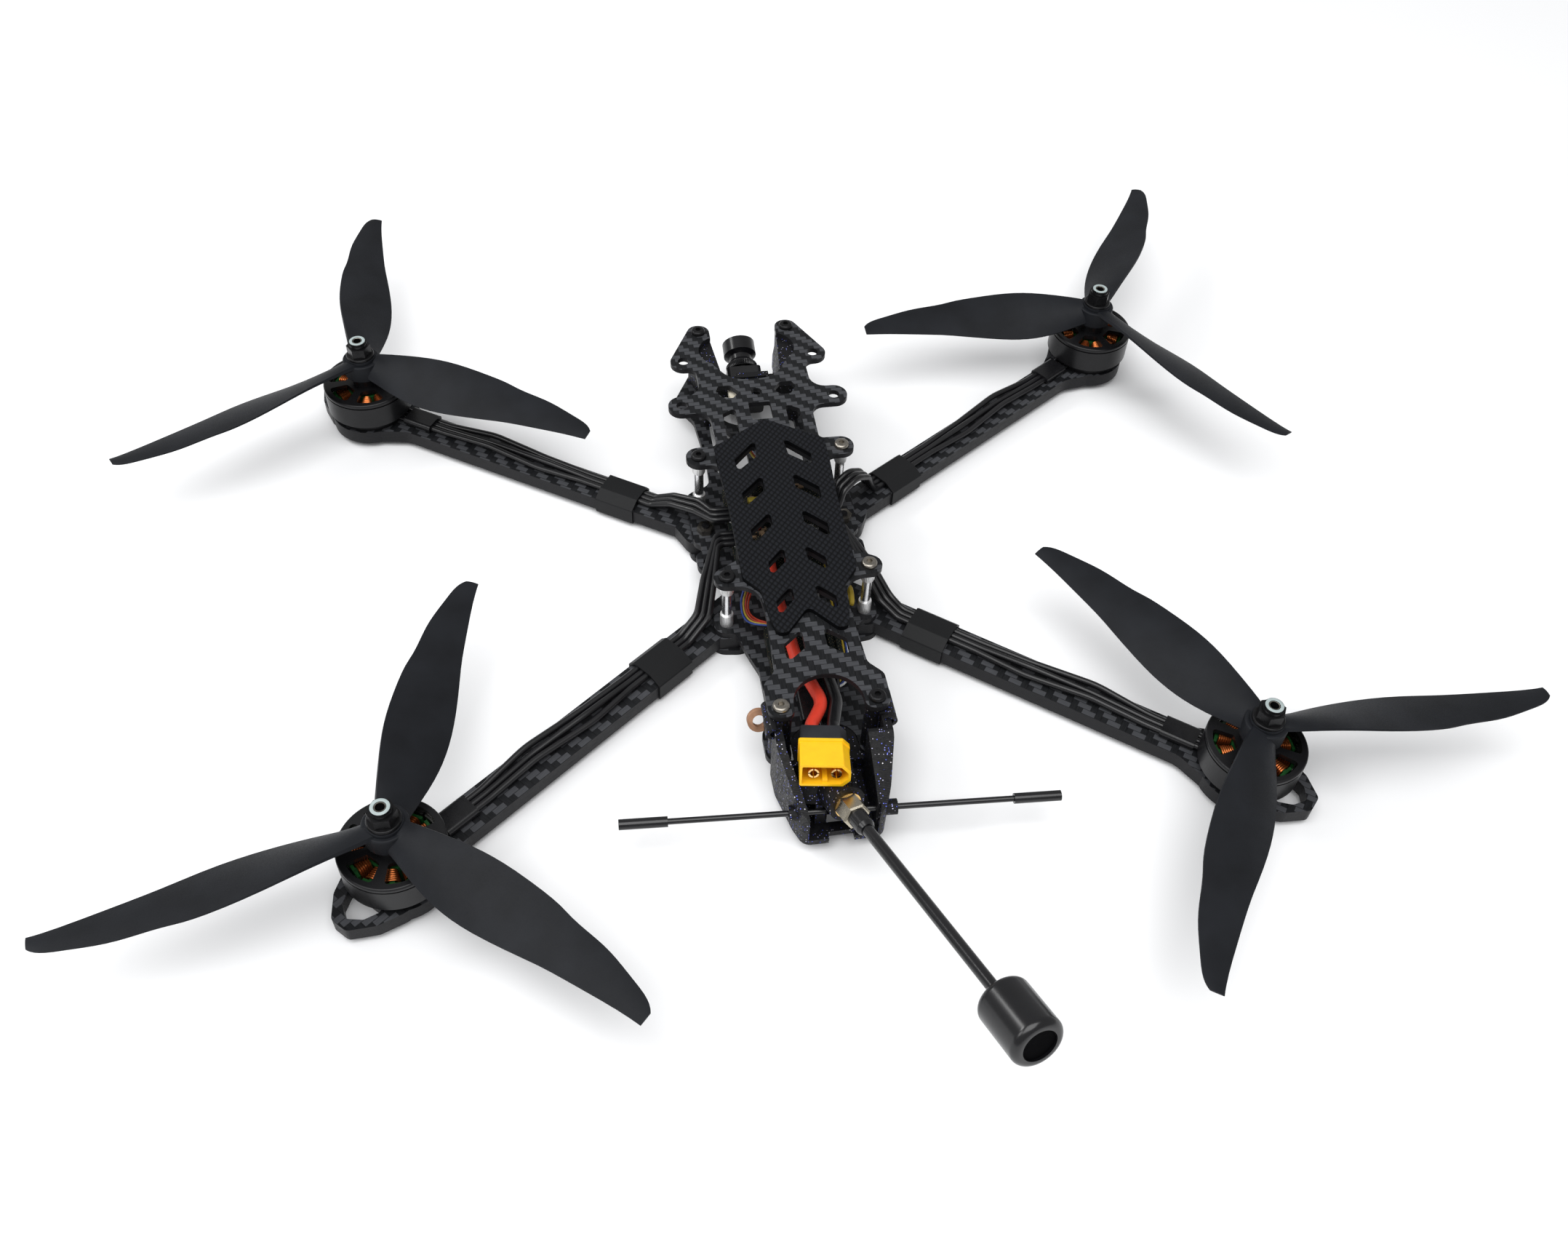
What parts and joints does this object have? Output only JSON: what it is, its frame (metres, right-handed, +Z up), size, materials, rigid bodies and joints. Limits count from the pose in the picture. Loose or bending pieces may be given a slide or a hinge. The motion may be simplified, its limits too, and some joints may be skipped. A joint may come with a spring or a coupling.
{
  "type": "quadcopter drone",
  "caption": "Carbon-fibre X quadcopter with three-blade propellers, open-top motors, tilting front camera, battery pad and rear plug and antennas.",
  "frame": {"origin": "middle of the X on the underside of the bottom plate", "axes": "+X to the drone's right, +Y towards the camera end, +Z up"},
  "size_m": [0.4828, 0.4312, 0.062],
  "materials": {
    "carbon": "twill carbon-fibre plate, satin",
    "pad_rubber": "matt, moulded",
    "black_steel": "black oxide",
    "bright_steel": "bright",
    "standoff_metal": "polished, knurled ends",
    "print_plastic": "printed, glittery",
    "camera_plastic": "satin",
    "lens_glass": "coated",
    "pcb": "solder mask",
    "soft_rubber": "silicone",
    "silicone_black": "satin silicone",
    "silicone_red": "satin silicone",
    "shrink_black": "heat-shrink",
    "band_fabric": "woven elastic",
    "motor_metal": "dark anodised",
    "motor_base_metal": "dark anodised",
    "core_steel": "insulated laminations",
    "prop_nylon": "satin nylon",
    "plug_yellow": "moulded",
    "plug_grey": "moulded",
    "gold_contact": "plated",
    "nickel": "plated",
    "antenna_black": "moulded",
    "ferrite_tan": "painted ferrite"
  },
  "bodies": {
    "frame": {"bottom_plate": "carbon", "mid_plate": "carbon", "top_plate": "carbon", "battery_pad": "pad_rubber", "arm_front_left": "carbon", "arm_front_right": "carbon", "arm_rear_left": "carbon", "arm_rear_right": "carbon", "plate_standoffs": "standoff_metal", "top_screws_black": "black_steel", "top_screws_silver": "bright_steel", "frame_bolts": "black_steel", "arm_nuts": "bright_steel", "camera_cradle": "print_plastic", "flight_controller": "pcb", "speed_controller": "pcb", "stack_bolts": "black_steel", "stack_grommets": "soft_rubber", "video_transmitter": "pcb", "receiver": "shrink_black", "filter_ring": "ferrite_tan", "rear_mount": "print_plastic", "sma_connector": "gold_contact", "sma_nut": "nickel", "antenna_stalk": "antenna_black", "antenna_cap": "antenna_black", "receiver_antenna": "antenna_black", "battery_connector_housing": "plug_yellow", "battery_connector_cap": "plug_grey", "battery_connector_pins": "gold_contact", "battery_lead_red": "silicone_red", "battery_lead_black": "silicone_black", "arm_bands": "band_fabric", "motor_wire_sleeves": "shrink_black", "motor_screws": "black_steel", "motor_bearings": "bright_steel", "motor_stators": "core_steel", "motor_base_front_left": "motor_base_metal", "motor_wires_front_left": "silicone_black", "motor_base_front_right": "motor_base_metal", "motor_wires_front_right": "silicone_black", "motor_base_rear_left": "motor_base_metal", "motor_wires_rear_left": "silicone_black", "motor_base_rear_right": "motor_base_metal", "motor_wires_rear_right": "silicone_black"},
    "rotor_front_left": {"motor_bell_front_left": "motor_metal", "propeller_front_left": "prop_nylon", "lock_nut_front_left": "black_steel"},
    "rotor_front_right": {"motor_bell_front_right": "motor_metal", "propeller_front_right": "prop_nylon", "lock_nut_front_right": "black_steel"},
    "rotor_rear_left": {"motor_bell_rear_left": "motor_metal", "propeller_rear_left": "prop_nylon", "lock_nut_rear_left": "black_steel"},
    "rotor_rear_right": {"motor_bell_rear_right": "motor_metal", "propeller_rear_right": "prop_nylon", "lock_nut_rear_right": "black_steel"},
    "camera": {"camera_body": "camera_plastic", "camera_lens": "lens_glass", "camera_screws": "black_steel"}
  },
  "joints": [
    {"name": "spin_front_left", "type": "hinge", "parent": "frame", "child": "rotor_front_left", "pos_m": [-0.1525, 0.1111, 0.025], "axis": [0, 0, 1], "continuous": true},
    {"name": "spin_front_right", "type": "hinge", "parent": "frame", "child": "rotor_front_right", "pos_m": [0.1525, 0.1111, 0.025], "axis": [0, 0, 1], "continuous": true},
    {"name": "spin_rear_left", "type": "hinge", "parent": "frame", "child": "rotor_rear_left", "pos_m": [-0.1395, -0.1111, 0.025], "axis": [0, 0, 1], "continuous": true},
    {"name": "spin_rear_right", "type": "hinge", "parent": "frame", "child": "rotor_rear_right", "pos_m": [0.1395, -0.1111, 0.025], "axis": [0, 0, 1], "continuous": true},
    {"name": "camera_tilt", "type": "hinge", "parent": "frame", "child": "camera", "pos_m": [0, 0.0995, 0.0126], "axis": [1, 0, 0], "range_deg": [-30, 30]}
  ]
}
